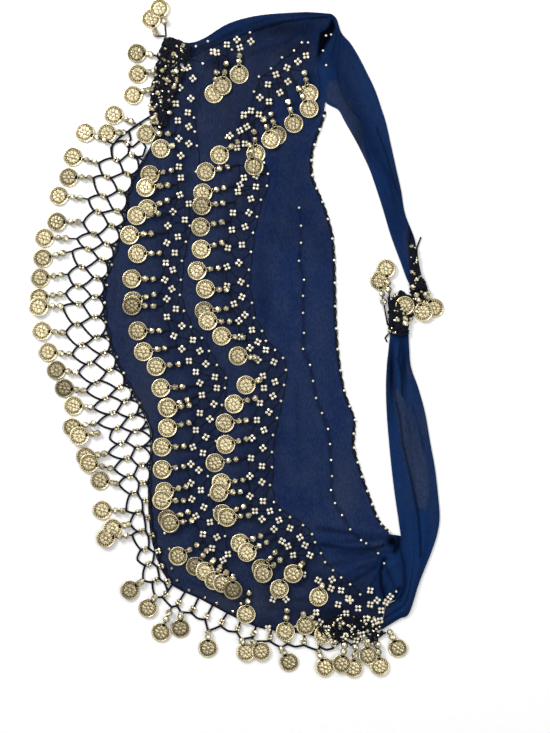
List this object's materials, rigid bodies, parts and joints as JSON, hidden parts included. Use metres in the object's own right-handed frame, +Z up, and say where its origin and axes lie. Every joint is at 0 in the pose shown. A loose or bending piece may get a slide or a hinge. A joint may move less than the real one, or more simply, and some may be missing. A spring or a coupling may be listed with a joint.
{
  "type": "belly dance hip scarf",
  "caption": "Long chiffon hip scarf laid flat, with gathered tie tails, a crocheted net hem and hanging coins on beaded bands.",
  "frame": {"origin": "on the floor, below the middle of the whole outline", "axes": "+Y towards the folded top end, -X towards the coin hem, +X towards the waist edge and tie tails, +Z up from the floor"},
  "size_m": [0.4552, 0.7452, 0.0136],
  "materials": {
    "chiffon": "semi-sheer navy chiffon",
    "crochet": "dark crochet thread",
    "coins": "antique gold plated stampings"
  },
  "bodies": {
    "root": {"panel": "chiffon", "upper_turn": "chiffon", "upper_tail": "chiffon", "lower_turn": "chiffon", "lower_tail": "chiffon", "waist_edging": "crochet", "hem_net": "crochet", "net_gather": "crochet", "band_top": "coins", "band_diagonal": "coins", "band_inner": "coins", "band_outer": "coins", "hem_fringe_top": "coins", "hem_fringe_side": "coins", "hem_fringe_end": "coins", "hem_fringe_corner": "coins", "tip_trim_upper": "coins", "tip_trim_lower": "coins"}
  },
  "joints": []
}
